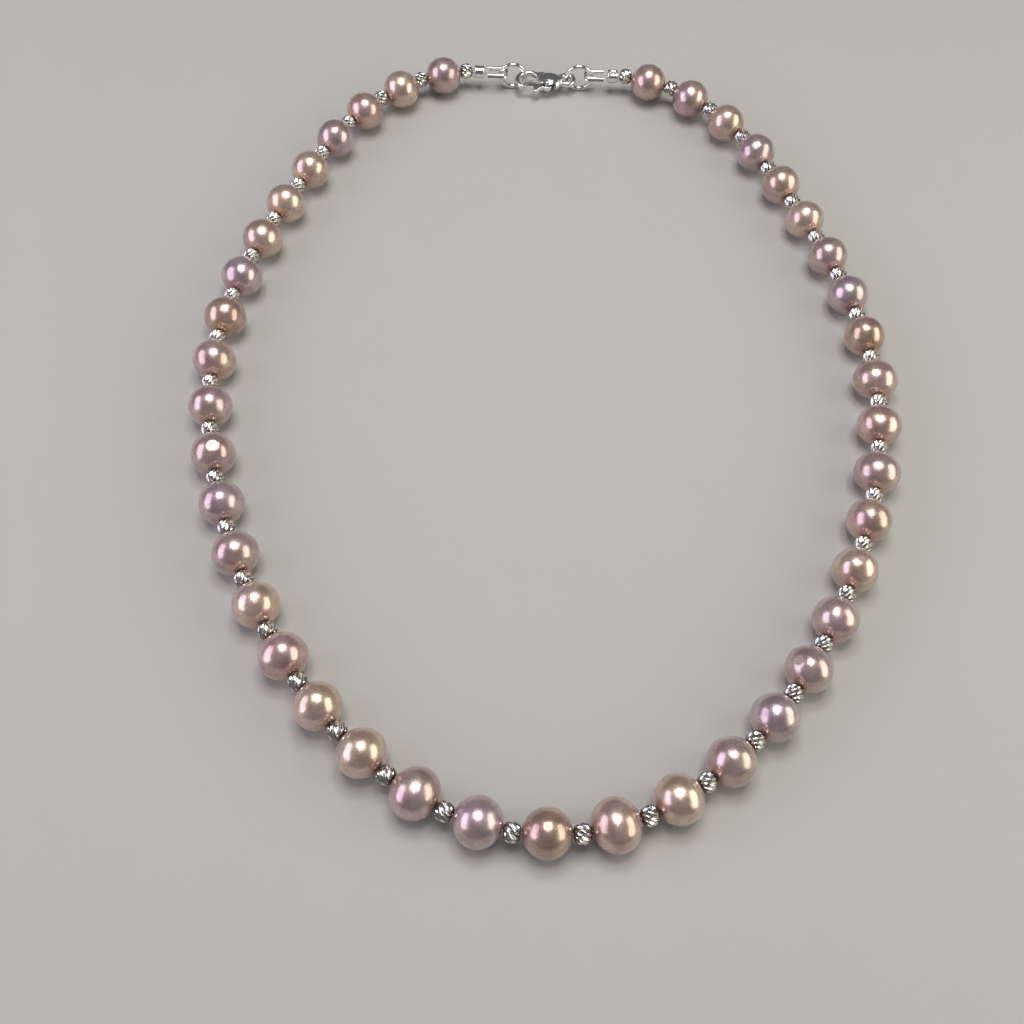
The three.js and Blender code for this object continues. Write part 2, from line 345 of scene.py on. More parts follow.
def nacre(tone):
    """Lustrous nacre: a clouded body tone, growth rings, fine pits and a clear gloss."""
    light, deep = (rgb(colour) for colour in NACRE[tone])
    material, tree = shader_tree("nacre_" + tone)
    place = tree.node("ShaderNodeAttribute", {"attribute_name": "place"}).other("Vector")
    seed = tree.node("ShaderNodeAttribute", {"attribute_name": "seed"}).other("Fac")
    shifted = tree.vector("ADD", place, tree.combine(seed * 7.3, seed * 3.1, seed * 5.7))
    along, _, _ = tree.separate(place)

    cloud = tree.smooth(tree.noise(shifted, 1.5, 3.0, 0.55), 0.3, 0.7)
    veins = tree.smooth(tree.noise(shifted, 5.0, 4.0, 0.6, 0.6), 0.42, 0.75)
    colour = mixed(tree, cloud * 0.75 + veins * 0.25, light, deep)
    blush = tree.smooth(tree.noise(shifted, 0.9, 1.0), 0.48, 0.68)
    colour = mixed(tree, blush * 0.25, colour, rgb(0xD2A8A0))
    orient = tree.smooth(tree.noise(shifted, 1.1, 1.0, 0.5, 0.4), 0.38, 0.62)
    overtone = mixed(tree, orient, rgb(0xC2A0C0), rgb(0xCFCBA6))
    colour = mixed(tree, 0.14, colour, overtone)
    # Painted glow: towards the drill holes the colour warms to orange, standing in for light glowing
    # through the nacre at the pearl's ends.
    mouth = tree.smooth(abs(along), 0.72, 0.97)
    colour = mixed(tree, mouth * 0.35, colour, rgb(0xBC7458))

    rings = tree.noise(tree.combine(along * 9.0 + seed * 11.0, 0.0, 0.0), 1.6, 3.0, 0.6)
    skin = tree.noise(shifted, 3.2, 2.0)
    pores = tree.node("ShaderNodeTexVoronoi", None, Vector=shifted, Scale=5.5)
    pits = tree.smooth(pores, 0.05, 0.16)
    grain = tree.noise(shifted, 26.0, 2.0)
    height = rings * 0.5 + skin * 0.7 + pits * 0.18 + grain * 0.02
    bump = tree.node("ShaderNodeBump", None, Strength=0.55, Distance=0.00007, Height=height)
    rough = 0.245 + 0.07 * veins + 0.06 * grain

    constants = {
        "IOR": 1.6,
        "Coat Weight": 1.0,
        "Coat Roughness": 0.035,
        "Coat IOR": 1.72,
        "Thin Film Thickness": 430.0,
        "Thin Film IOR": 1.45,
        "Metallic": 0.68,
        "Sheen Weight": 0.2,
        "Sheen Roughness": 0.35,
        "Sheen Tint": (1.0, 0.8, 0.76, 1.0),
    }
    finish_shader(tree, constants, Base_Color=colour, Roughness=rough, Normal=bump)
    return material


def object_place(tree, turn=(0.0, 0.0, 0.0), scale=(1000.0, 1000.0, 1000.0)):
    """Places in millimetres."""
    coordinates = tree.node("ShaderNodeTexCoord").other("Object")
    return tree.node("ShaderNodeMapping", None, Vector=coordinates, Rotation=turn, Scale=scale)


def bright_silver(name):
    """Mirror cuts in silver, a little darker where the cutter never reached."""
    material, tree = shader_tree(name)
    place = object_place(tree)
    uncut = tree.node("ShaderNodeAttribute", {"attribute_name": "uncut"}).other("Fac")
    smear = tree.smooth(tree.noise(place, 2.4, 3.0), 0.35, 0.7)
    colour = mixed(tree, uncut * 0.8 + smear * 0.12, rgb(0xF0EEE8), rgb(0x5E5852))
    scratches = tree.noise(object_place(tree, (0.4, 0.7, 0.2), (2500.0, 14000.0, 14000.0)), 1.0, 2.0)
    bump = tree.node("ShaderNodeBump", None, Strength=0.2, Distance=0.00001, Height=scratches)
    rough = 0.05 + 0.16 * uncut + 0.05 * smear
    finish_shader(tree, {"Metallic": 1.0}, Base_Color=colour, Roughness=rough, Normal=bump)
    return material


def polished_silver(name):
    """Polished findings with handling scratches and a trace of tarnish."""
    material, tree = shader_tree(name)
    place = object_place(tree)
    tarnish = tree.smooth(tree.noise(place, 0.9, 4.0, 0.6), 0.45, 0.8)
    colour = mixed(tree, tarnish * 0.4, rgb(0xECEAE6), rgb(0xB7AD9E))
    fine = tree.noise(object_place(tree, (0.2, 0.1, 0.6), (1500.0, 15000.0, 9000.0)), 1.0, 3.0)
    hammered = tree.noise(place, 1.6, 1.0)
    height = fine * 0.15 + hammered * 0.6
    bump = tree.node("ShaderNodeBump", None, Strength=0.35, Distance=0.00004, Height=height)
    rough = 0.11 + 0.12 * tarnish + 0.06 * fine
    finish_shader(tree, {"Metallic": 1.0}, Base_Color=colour, Roughness=rough, Normal=bump)
    return material


def steel(name):
    """Drawn steel with lines along it."""
    material, tree = shader_tree(name)
    place = object_place(tree)
    lines = tree.noise(object_place(tree, (0.0, 0.0, 0.0), (3000.0, 3000.0, 24000.0)), 1.0, 2.0)
    shade = tree.smooth(tree.noise(place, 1.8, 2.0), 0.3, 0.75)
    colour = mixed(tree, shade * 0.5, rgb(0xC9CACC), rgb(0x8F9296))
    bump = tree.node("ShaderNodeBump", None, Strength=0.3, Distance=0.00002, Height=lines)
    rough = 0.24 + 0.16 * lines
    finish_shader(tree, {"Metallic": 1.0}, Base_Color=colour, Roughness=rough, Normal=bump)
    return material


nacres = {tone: nacre(tone) for tone in NACRE}
cut_silver = bright_silver("bright_cut_silver")
smooth_silver = polished_silver("polished_silver")
drawn_steel = steel("spring_steel")


# ---- the strand's lay, from the joints that the pearls turn on ----
turning = {joint["name"]: joint for joint in frame["joints"]}


def pearl_joint(number):
    return turning["pearl_%02d_turns" % number]


pearl_places = [Vector(pearl_joint(n + 1)["pos_m"]) for n in range(PEARLS)]
pearl_axes = [Vector(pearl_joint(n + 1)["axis"]).normalized() for n in range(PEARLS)]
spacings = [(b - a).length for a, b in zip(pearl_places, pearl_places[1:])]
HALF_PITCH = max(spacings) / 2


def bead_place(number):
    """The middle of a silver bead; bead 0 is before the first pearl."""
    guesses = []
    if number > 0:
        guesses.append(pearl_places[number - 1] + pearl_axes[number - 1] * HALF_PITCH)
    if number < PEARLS:
        guesses.append(pearl_places[number] - pearl_axes[number] * HALF_PITCH)
    return sum(guesses, Vector()) / len(guesses)


def bead_heading(number):
    before = pearl_axes[number - 1] if number else Vector((-1, 0, 0))
    after = pearl_axes[number] if number < PEARLS else Vector((-1, 0, 0))
    both = before + after
    return math.atan2(both.y, both.x)


bead_places = [bead_place(n) for n in range(PEARLS + 1)]
BACK_Y = sum(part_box("end_ring"), Vector()).y / 2


def bead_span(stretch):
    """First and last silver bead of a stretch; a bead between two goes with the one nearer the front."""
    place = STRETCHES.index(stretch)
    first = sum(PEARLS_PER_STRETCH[:place])
    last = first + PEARLS_PER_STRETCH[place]
    front = STRETCHES.index("front")
    return first + (place > front), last - (place < front)


# ---- pearls ----
def pearl_tree():
    """A drilled pearl about X: a lathed skin and bore, off-round by lumps, ovality and a flat side."""
    inputs = {
        "Radius": PEARL_RADIUS,
        "Length": PEARL_LENGTH,
        "Hole radius": PEARL_HOLE,
        "Lumps": 0.03,
        "Oval": 0.0,
        "Flat": 0.0,
        "Flat direction": (0.0, 0.0, 1.0),
        "Rings": 0.004,
        "Seed": 0.0,
        "Heading": 0.0,
        "Centre": (0.0, 0.0, 0.0),
    }
    columns, rows = 80, 48
    tree = GeometryTree("drilled pearl", inputs)
    radius, length, hole = tree["Radius"], tree["Length"], tree["Hole radius"]
    grid, column, row = tree.grid(columns, rows + 1)
    bore_end = tree.maths("GREATER_THAN", row, rows + 0.5)
    mouth = tree.maths("ARCSINE", hole / radius)
    polar = mouth + (math.pi - 2.0 * mouth) * (row / float(rows)) * (1.0 - bore_end)
    round_about = column * (TURN / columns)
    reach = radius * tree.maths("SINE", polar)
    x = -0.5 * length * tree.maths("COSINE", polar) / tree.maths("COSINE", mouth)
    y = reach * tree.maths("COSINE", round_about)
    z = reach * tree.maths("SINE", round_about)
    skin = tree.smooth(reach, hole * 1.2, radius * 0.55)

    unit = tree.vector("SCALE", tree.combine(x, y, z), None)
    tree.feed(unit.output.node.inputs["Scale"], 1.0 / radius)
    seed = tree["Seed"]
    lumpy = tree.noise(tree.vector("ADD", unit, tree.combine(seed, seed * 1.7, seed * 2.3)), 0.85, 1.0)
    ring_place = tree.combine(x / radius * 7.0 + seed, seed, 0.0)
    ringed = tree.noise(ring_place, 1.0, 2.0)
    growth = 1.0 + ((lumpy - 0.5) * 2.0 * tree["Lumps"] + (ringed - 0.5) * tree["Rings"]) * skin
    shaped = tree.combine(
        x * (1.0 + (growth - 1.0) * 0.6),
        y * growth * (1.0 + tree["Oval"] * skin),
        z * growth * (1.0 - tree["Oval"] * skin),
    )
    facing = tree.vector("NORMALIZE", tree["Flat direction"])
    height = tree.vector("DOT_PRODUCT", shaped, facing)
    limit = radius * (1.0 - tree["Flat"])
    excess = tree.maths("MAXIMUM", height - limit, 0.0) * skin
    eased = excess * excess / (excess + 0.35 * tree["Flat"] * radius + 1e-6)
    pressed = tree.vector("SCALE", facing, None)
    tree.feed(pressed.output.node.inputs["Scale"], eased)
    shaped = tree.vector("SUBTRACT", shaped, pressed)

    turned = tree.turned_about_z(shaped, tree["Heading"])
    placed = tree.vector("ADD", turned, tree["Centre"])
    known = tree.stored(grid, "place", "FLOAT_VECTOR", unit)
    known = tree.stored(known, "seed", "FLOAT", seed)
    return tree.finished(tree.closed(tree.moved(known, placed)))


def front_index(number):
    """Pearls are counted from the middle of the front, negative to the left."""
    return number - MIDDLE_PEARL


# Pearls whose shape stands out, by their place from the middle of the front.
SPECIAL = {
    -9: {"Flat": 0.03, "Flat direction": (0.25, 0.12, 0.96), "Lumps": 0.06},
    -5: {"Radius": PEARL_RADIUS},
    -2: {"Oval": 0.055, "Lumps": 0.02},
    -1: {"Oval": 0.03, "Lumps": 0.02},
    1: {"Oval": 0.075, "Lumps": 0.008},
    5: {"Flat": 0.05, "Flat direction": (-0.3, 0.5, 0.8)},
    9: {"Oval": 0.05},
    10: {"Oval": 0.04, "Lumps": 0.05},
    11: {"Oval": 0.045, "Flat": 0.05, "Flat direction": (0.1, -0.8, 0.6)},
}


def make_pearls():
    tree = pearl_tree()
    draw = random.Random(41)
    for number in range(1, PEARLS + 1):
        axis = pearl_axes[number - 1]
        values = {
            "Radius": PEARL_RADIUS * draw.uniform(0.955, 0.985),
            "Lumps": draw.uniform(0.015, 0.05),
            "Oval": draw.uniform(-0.015, 0.015),
            "Rings": draw.uniform(0.002, 0.012),
            "Seed": draw.uniform(0.0, 40.0),
            "Heading": math.atan2(axis.y, axis.x),
            "Centre": tuple(pearl_places[number - 1]),
        }
        values.update(SPECIAL.get(front_index(number), {}))
        tone = PEARL_TONES[number - 1]
        name = "pearl_%02d" % number
        given = {label.replace(" ", "_"): value for label, value in values.items()}
        mesh = grown(tree, path_mesh([(0, 0, 0)]), nacres[tone], **given)
        piece("nacre_" + name, mesh, name, "nacre_" + tone, name)


# ---- silver beads ----
def bead_tree():
    """Bright-cut silver beads on the carrier's points: slanted leaf-shaped cuts from end to end."""
    inputs = {
        "Radius": BEAD_RADIUS,
        "Length": BEAD_LENGTH,
        "End radius": BEAD_END,
        "Hole radius": BEAD_HOLE,
        "Cut depth": BEAD_CUT_DEPTH,
        "Skew": BEAD_CUT_SKEW,
        "Leaf reach": 1.04,
        "Seed": 5,
    }
    per_cut, rows = 8, 24
    columns = BEAD_CUTS * per_cut
    tree = GeometryTree("bright-cut beads", inputs)
    grid, column, row = tree.grid(columns, rows + 3)
    past = row - float(rows)
    outer = tree.maths("LESS_THAN", past, 0.5)
    first_bore = tree.maths("COMPARE", past, 1.0, 0.1)
    last_bore = tree.maths("COMPARE", past, 2.0, 0.1)
    polar = row * (math.pi / rows) * outer
    level = -tree.maths("COSINE", polar)
    # Each cut is a leaf: 0 at its outline, 1 on its spine.
    across = abs(tree.maths("FRACT", column / float(per_cut)) - 0.5)
    away = level / tree["Leaf reach"]
    half_width = 0.5 * (1.0 - away * away)
    cut = tree.maths("MAXIMUM", half_width - across, 0.0) * 2.0
    swell = tree.maths("SINE", polar) ** 0.95
    barrel = tree["End radius"] + (tree["Radius"] - tree["End radius"]) * swell
    bore = (tree["End radius"] - tree["Hole radius"]) * (first_bore + last_bore)
    reach = barrel - tree["Cut depth"] * cut * tree.smooth(swell, 0.0, 0.5) - bore
    angle = column * (TURN / columns) + tree["Skew"] * level
    x = 0.5 * tree["Length"] * level + tree["Length"] * first_bore
    place = tree.combine(x, reach * tree.maths("COSINE", angle), reach * tree.maths("SINE", angle))
    uncut = tree.smooth(cut, 0.02, 0.3, 1.0, 0.0)
    bead = tree.closed(tree.moved(tree.stored(grid, "uncut", "FLOAT", uncut), place))

    heading = tree.node("GeometryNodeInputNamedAttribute", {"data_type": "FLOAT"}, Name="heading")
    spin = tree.node(
        "FunctionNodeRandomValue", {"data_type": "FLOAT"}, Min=0.0, Max=TURN, Seed=tree["Seed"]
    )
    turn = tree.combine(spin, 0.0, heading)
    named = {"Points": tree["Geometry"], "Instance": bead, "Rotation": turn}
    return tree.finished(tree.node("GeometryNodeInstanceOnPoints", None, **named), smooth=False)


def make_beads():
    tree = bead_tree()
    for count, stretch in enumerate(STRETCHES):
        first, last = bead_span(stretch)
        numbers = range(first, last + 1)
        carrier = path_mesh([bead_places[n] for n in numbers])
        heading = carrier.attributes.new("heading", "FLOAT", "POINT")
        heading.data.foreach_set("value", [bead_heading(n) for n in numbers])
        mesh = grown(tree, carrier, cut_silver, Seed=11 + count)
        piece("silver_beads_" + stretch, mesh, stretch, "bright_cut_silver", "wire_" + stretch)


# ---- wire ----
def wire_tree():
    """Wire along the carrier's path; lobes wound along it make it a twisted cable."""
    inputs = {
        "Radius": WIRE_RADIUS,
        "Lobes": 6.0,
        "Lobe depth": 0.12,
        "Twists": float(WIRE_TWISTS_PER_METRE),
        "Step": 0.35 * MM,
        "Unevenness": 0.0,
    }
    sides = 24
    tree = GeometryTree("drawn or twisted wire", inputs)
    even = tree.even_curve()
    run = tree.node("GeometryNodeSplineParameter").other("Length")
    wound = tree.node("GeometryNodeSetCurveTilt", None, Curve=even, Tilt=run * tree["Twists"] * TURN)
    uneven = tree.noise(tree.node("GeometryNodeInputPosition"), 900.0, 2.0) - 0.5
    thick = tree.node(
        "GeometryNodeSetCurveRadius", None, Curve=wound, Radius=1.0 + uneven * tree["Unevenness"]
    )
    ring = tree.circle(sides)
    number = tree.node("GeometryNodeInputIndex")
    angle = number * (TURN / sides)
    lobed = 1.0 - tree["Lobe depth"] * (0.5 - 0.5 * tree.maths("COSINE", angle * tree["Lobes"]))
    reach = tree["Radius"] * lobed
    place = tree.combine(reach * tree.maths("COSINE", angle), reach * tree.maths("SINE", angle), 0.0)
    named = {"Curve": thick, "Profile Curve": tree.moved(ring, place), "Fill Caps": True}
    swept = tree.node("GeometryNodeCurveToMesh", None, **named)
    return tree.finished(swept)


def guard_tree():
    """An open channel along the carrier's path, its mouth on the outside of the bend."""
    inputs = {"Outer": GUARD_OUTER, "Inner": GUARD_INNER, "Mouth": 1.9, "Step": 0.18 * MM}
    sides = 15
    tree = GeometryTree("wire guard", inputs)
    even = tree.even_curve()
    level = tree.node("GeometryNodeSetCurveNormal", {"mode": "Z_UP"}, Curve=even)
    ring = tree.circle(2 * sides)
    number = tree.node("GeometryNodeInputIndex")
    inside = tree.maths("GREATER_THAN", number, sides - 0.5)
    step = (number - inside * float(sides)) / float(sides - 1)
    back_and_forth = step * (1.0 - inside) + (1.0 - step) * inside
    angle = tree["Mouth"] * 0.5 + (TURN - tree["Mouth"]) * back_and_forth
    reach = tree["Outer"] * (1.0 - inside) + tree["Inner"] * inside
    place = tree.combine(reach * tree.maths("COSINE", angle), reach * tree.maths("SINE", angle), 0.0)
    named = {"Curve": level, "Profile Curve": tree.moved(ring, place), "Fill Caps": True}
    return tree.finished(tree.node("GeometryNodeCurveToMesh", None, **named))


def arc(middle, radius, start, end, steps, height):
    """Points on a level arc; angles in degrees."""
    angles = [math.radians(start + (end - start) * i / steps) for i in range(steps + 1)]
    return [
        Vector((middle[0] + radius * math.cos(a), middle[1] + radius * math.sin(a), height))
        for a in angles
    ]


def guard_path(side):
    """The horseshoe that the wire makes round its ring: leg, bend, leg. side is -1 left, 1 right."""
    low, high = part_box("wire_guard_left" if side < 0 else "wire_guard_right")
    height = (low.z + high.z) / 2
    half_width = (high.y - low.y) / 2 - GUARD_MARGIN
    bend = (high.x if side < 0 else low.x) + side * GUARD_MARGIN
    leg_end = low.x if side < 0 else high.x
    middle = (bend + side * half_width, BACK_Y)
    bent = arc(middle, half_width, 90 * side, -90 * side, 14, height)
    if side > 0:
        bent = [Vector((2 * middle[0] - p.x, p.y, p.z)) for p in bent]
    legs = [leg_end + (middle[0] - leg_end) * i / 5 for i in range(5)]
    first = [Vector((x, bent[0].y, height)) for x in legs]
    last = [Vector((x, bent[-1].y, height)) for x in reversed(legs)]
    return first + bent + last


def end_run(side):
    """The wire from the last bead through the crimp, round its guard, and back into the bead."""
    crimp_low, crimp_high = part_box("crimp_left" if side < 0 else "crimp_right")
    height = (crimp_low.z + crimp_high.z) / 2
    outer_x = crimp_low.x if side < 0 else crimp_high.x
    inner_x = crimp_high.x if side < 0 else crimp_low.x
    loop = guard_path(side)
    toward = 1 if loop[0].y > BACK_Y else -1
    near, far = BACK_Y + toward * WIRE_SPREAD, BACK_Y - toward * WIRE_SPREAD
    mouth_x = inner_x + side * 0.3 * MM
    going = [Vector((outer_x, near, height)), Vector((mouth_x, near, height))]
    coming = [Vector((mouth_x, far, height)), Vector((outer_x + side * 0.5 * MM, far, height))]
    return going + loop[1:-1] + coming


def strand_route(stretch):
    """Where the beading wire runs through a stretch."""
    first, last = bead_span(stretch)
    place = STRETCHES.index(stretch)
    front = STRETCHES.index("front")
    route = [bead_places[first]]
    for n in range(first, last):
        route.append(pearl_places[n])
        route.append(bead_places[n + 1])
    if place > front:
        route.insert(0, pearl_places[first - 1])
        route.insert(0, pearl_places[first - 1] - pearl_axes[first - 1] * WIRE_STOP)
    if place < front:
        route.append(pearl_places[last])
        route.append(pearl_places[last] + pearl_axes[last] * WIRE_STOP)
    if place == 0:
        route = list(reversed(end_run(-1))) + route
    if place == len(STRETCHES) - 1:
        route = route + end_run(1)
    return route


def make_wires():
    tree = wire_tree()
    for stretch in STRETCHES:
        mesh = grown(tree, path_mesh(strand_route(stretch)), drawn_steel)
        piece("beading_wire_" + stretch, mesh, stretch, "spring_steel", "wire_" + stretch)
    front = STRETCHES.index("front")
    for place in range(len(STRETCHES) - 1):
        left, right = STRETCHES[place], STRETCHES[place + 1]
        first = sum(PEARLS_PER_STRETCH[: place + 1])
        toward = 1 if place >= front else -1
        pearl = first if toward > 0 else first - 1
        start = bead_places[first]
        end = pearl_places[pearl] - pearl_axes[pearl] * toward * FLEX_REACH
        points = [start.lerp(end, i / 8) for i in range(9)]
        mesh = grown(tree, path_mesh(points), drawn_steel, Step=0.2 * MM)
        bridge = piece("wire_flex_%s_%s" % (left, right), mesh, None, "spring_steel")
        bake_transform(bridge)


# ---- findings ----
def lathe(profile, around, shape=None):
    """A closed mesh about X from a loop of (x, radius); shape may change the radius at each angle."""
    points, faces = [], []
    count = len(profile)
    for step in range(around):
        angle = TURN * step / around
        for x, radius in profile:
            reach = shape(x, radius, angle) if shape else radius
            points.append((x, reach * math.cos(angle), reach * math.sin(angle)))
    for step in range(around):
        here, there = step * count, (step + 1) % around * count
        for i in range(count):
            j = (i + 1) % count
            faces.append((here + i, here + j, there + j, there + i))
    mesh = bpy.data.meshes.new("lathed")
    mesh.from_pydata(points, [], faces)
    return mesh


def finish_mesh(mesh, material, sharp_angle):
    """Gives a hand-built mesh its material, outward faces and shading."""
    mesh.materials.clear()
    mesh.materials.append(material)
    outward(mesh)
    for polygon in mesh.polygons:
        polygon.use_smooth = True
    mesh.set_sharp_from_angle(angle=sharp_angle)
    return mesh


CRIMP_FOLD_ANGLE, CRIMP_FOLD = 1.9, 0.3
CRIMP_FLAT_ANGLE, CRIMP_FLAT = 1.2, 0.1
RIM_START, RIM_ROLL = 0.72, 0.16


def bell(away, width):
    """1 in the middle, fading to 0 past the width."""
    return math.exp(-((away / width) ** 2))


def make_crimps():
    """Soft tubes pressed round the wire: a rolled rim at each end and the pliers' fold between."""
    for side, label in ((-1, "left"), (1, "right")):
        low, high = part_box("crimp_" + label)
        half = (high.x - low.x) / 2
        profile = []
        steps = 22
        for i in range(steps + 1):
            x = -half + 2 * half * i / steps
            rim = max(0.0, (abs(x) / half - RIM_START) / (1 - RIM_START))
            profile.append((x, CRIMP_RADIUS * (1 - RIM_ROLL * rim * rim)))
        profile.append((half, CRIMP_HOLE))
        profile.append((-half, CRIMP_HOLE))

        def pressed(x, radius, angle, half=half, side=side):
            if radius <= CRIMP_HOLE:
                return radius
            inner = max(0.0, 1 - (x / (0.8 * half)) ** 2)
            fold = bell(math.remainder(angle - CRIMP_FOLD_ANGLE * side, TURN), 0.32)
            flat = bell(math.remainder(angle + CRIMP_FLAT_ANGLE * side, TURN), 0.7)
            return radius * (1 - inner * (CRIMP_FOLD * fold + CRIMP_FLAT * flat))

        mesh = lathe(profile, 72, pressed)
        mesh.transform(Matrix.Translation((low + high) / 2))
        finish_mesh(mesh, smooth_silver, math.radians(50))
        body = "left_3" if side < 0 else "right_3"
        piece("crimp_tube_" + label, mesh, body, "polished_silver", "crimp_" + label)


def make_guards():
    tree = guard_tree()
    for side, label in ((-1, "left"), (1, "right")):
        mesh = grown(tree, path_mesh(guard_path(side)), smooth_silver)
        mesh.set_sharp_from_angle(angle=math.radians(40))
        body = "left_3" if side < 0 else "right_3"
        piece("guard_" + label, mesh, body, "polished_silver", "wire_guard_" + label)


def make_rings():
    """A soldered end ring, and a jump ring with the hairline split that it is opened by."""
    tree = wire_tree()
    round_wire = {"Lobes": 0.0, "Lobe_depth": 0.0, "Twists": 0.0, "Step": 0.2 * MM}
    steps = 48
    start = math.radians(62)
    for name, split in (("end_ring", 0.0), ("jump_ring", RING_SPLIT)):
        low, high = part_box(name)
        middle = (low + high) / 2
        sweep = TURN - math.radians(split)
        points = []
        for i in range(steps + (1 if split else 0)):
            angle = start + sweep * i / steps
            across = Vector((math.cos(angle), 0, math.sin(angle)))
            points.append(middle + across * RING_RADIUS)
        carrier = path_mesh(points, closed=not split)
        mesh = grown(tree, carrier, smooth_silver, Radius=RING_WIRE, Unevenness=0.05, **round_wire)
        piece(name + "_wire", mesh, name, "polished_silver", name)


def shown_mesh(source):
    """A plain mesh of an object with its modifiers applied; the object is removed."""
    bpy.context.scene.collection.objects.link(source)
    depsgraph = bpy.context.evaluated_depsgraph_get()
    mesh = bpy.data.meshes.new_from_object(source.evaluated_get(depsgraph))
    bpy.data.objects.remove(source)
    return mesh


def rounded_plate(outline, holes, thickness, rounding, middle):
    """A level plate with rounded edges, in millimetres; outline and holes are lists of (x, y)."""
    curve = bpy.data.curves.new("outline", "CURVE")
    curve.dimensions = "2D"
    curve.fill_mode = "BOTH"
    curve.extrude = thickness / 2 - rounding
    curve.bevel_depth = rounding
    curve.bevel_resolution = 4
    curve.offset = -rounding
    for loop in [outline, *holes]:
        spline = curve.splines.new("POLY")
        spline.points.add(len(loop) - 1)
        for point, (x, y) in zip(spline.points, loop):
            point.co = (x, y, 0, 1)
        spline.use_cyclic_u = True
    mesh = shown_mesh(bpy.data.objects.new("plate", curve))
    mesh.transform(Matrix.Translation((0, 0, middle)))
    edit = bmesh.new()
    edit.from_mesh(mesh)
    bmesh.ops.remove_doubles(edit, verts=edit.verts, dist=1e-4)
    edit.to_mesh(mesh)
    edit.free()
    return outward(mesh)


def joined(meshes):
    edit = bmesh.new()
    for mesh in meshes:
        edit.from_mesh(mesh)
    whole = bpy.data.meshes.new("joined")
    edit.to_mesh(whole)
    edit.free()
    return whole


def ellipsoid(middle, sizes, around=48):
    edit = bmesh.new()
    bmesh.ops.create_uvsphere(edit, u_segments=around, v_segments=around // 2, radius=1)
    mesh = bpy.data.meshes.new("swell")
    edit.to_mesh(mesh)
    edit.free()
    mesh.transform(Matrix.Translation(middle) @ Matrix.Diagonal((*sizes, 1)))
    return mesh


def cast(meshes, voxel, rounds):
    """One smooth casting from overlapping shapes."""
    source = bpy.data.objects.new("casting", joined(meshes))
    remesh = source.modifiers.new("remesh", "REMESH")
    remesh.mode = "VOXEL"
    remesh.voxel_size = voxel
    smooth = source.modifiers.new("smooth", "SMOOTH")
    smooth.factor = 0.5
    smooth.iterations = rounds
    return shown_mesh(source)


def cut_away(mesh, cutters):
    source = bpy.data.objects.new("casting", mesh)
    others = []
    for cutter in cutters:
        other = bpy.data.objects.new("cutter", cutter)
        bpy.context.scene.collection.objects.link(other)
        boolean = source.modifiers.new("cut", "BOOLEAN")
        boolean.operation = "DIFFERENCE"
        boolean.solver = "EXACT"
        boolean.object = other
        others.append(other)
    result = shown_mesh(source)
    for other in others:
        bpy.data.objects.remove(other)
    return result


def block(low, high):
    edit = bmesh.new()
    bmesh.ops.create_cube(edit, size=1)
    mesh = bpy.data.meshes.new("block")
    edit.to_mesh(mesh)
    edit.free()
    low, high = Vector(low), Vector(high)
    mesh.transform(Matrix.Translation((low + high) / 2) @ Matrix.Diagonal((*(high - low), 1)))
    return mesh


# The clasp is drawn in millimetres in its own frame: x along the strand, y across it, z up.
CLASP_MIDDLE = 2.3
CLASP_SHIFT = -0.75
THROAT = (-2.6, -0.6)
THROAT_INNER, THROAT_OUTER, TIP_ANGLE = 1.75, 2.75, 232
EYE = (4.9, 0.0)
EYE_INNER, EYE_OUTER = 0.95, 1.85
PIVOT = (1.0, -2.1)
PIN_RADIUS, PIN_HOLE = 0.35, 0.45
PIN_HALF, PIN_HEAD = 1.36, 0.52
CLAW_THICKNESS, CLAW_ROUNDING = 1.15, 0.45
CASTING_VOXEL, CASTING_ROUNDS = 0.075, 16
SLOT_HALF = 0.72
LEVER_THICKNESS, LEVER_ROUNDING, LEVER_ROOT = 0.9, 0.16, 0.98
RIB_PITCH, RIB_SIZES = 0.24, (0.07, 0.2, 0.52)
LEAF_MIDDLE = (0.9, PIVOT[1])
LEAF_INNER, LEAF_OUTER, LEAF_START, LEAF_END = 1.52, 1.68, -14, 42


def flat_arc(middle, radius, start, end, steps):
    return [(p.x, p.y) for p in arc(middle, radius, start, end, steps, 0.0)]


def to_place(mesh):
    mesh.transform(Matrix.Translation((CLASP_SHIFT * MM, BACK_Y, 0)) @ Matrix.Scale(MM, 4))
    return mesh


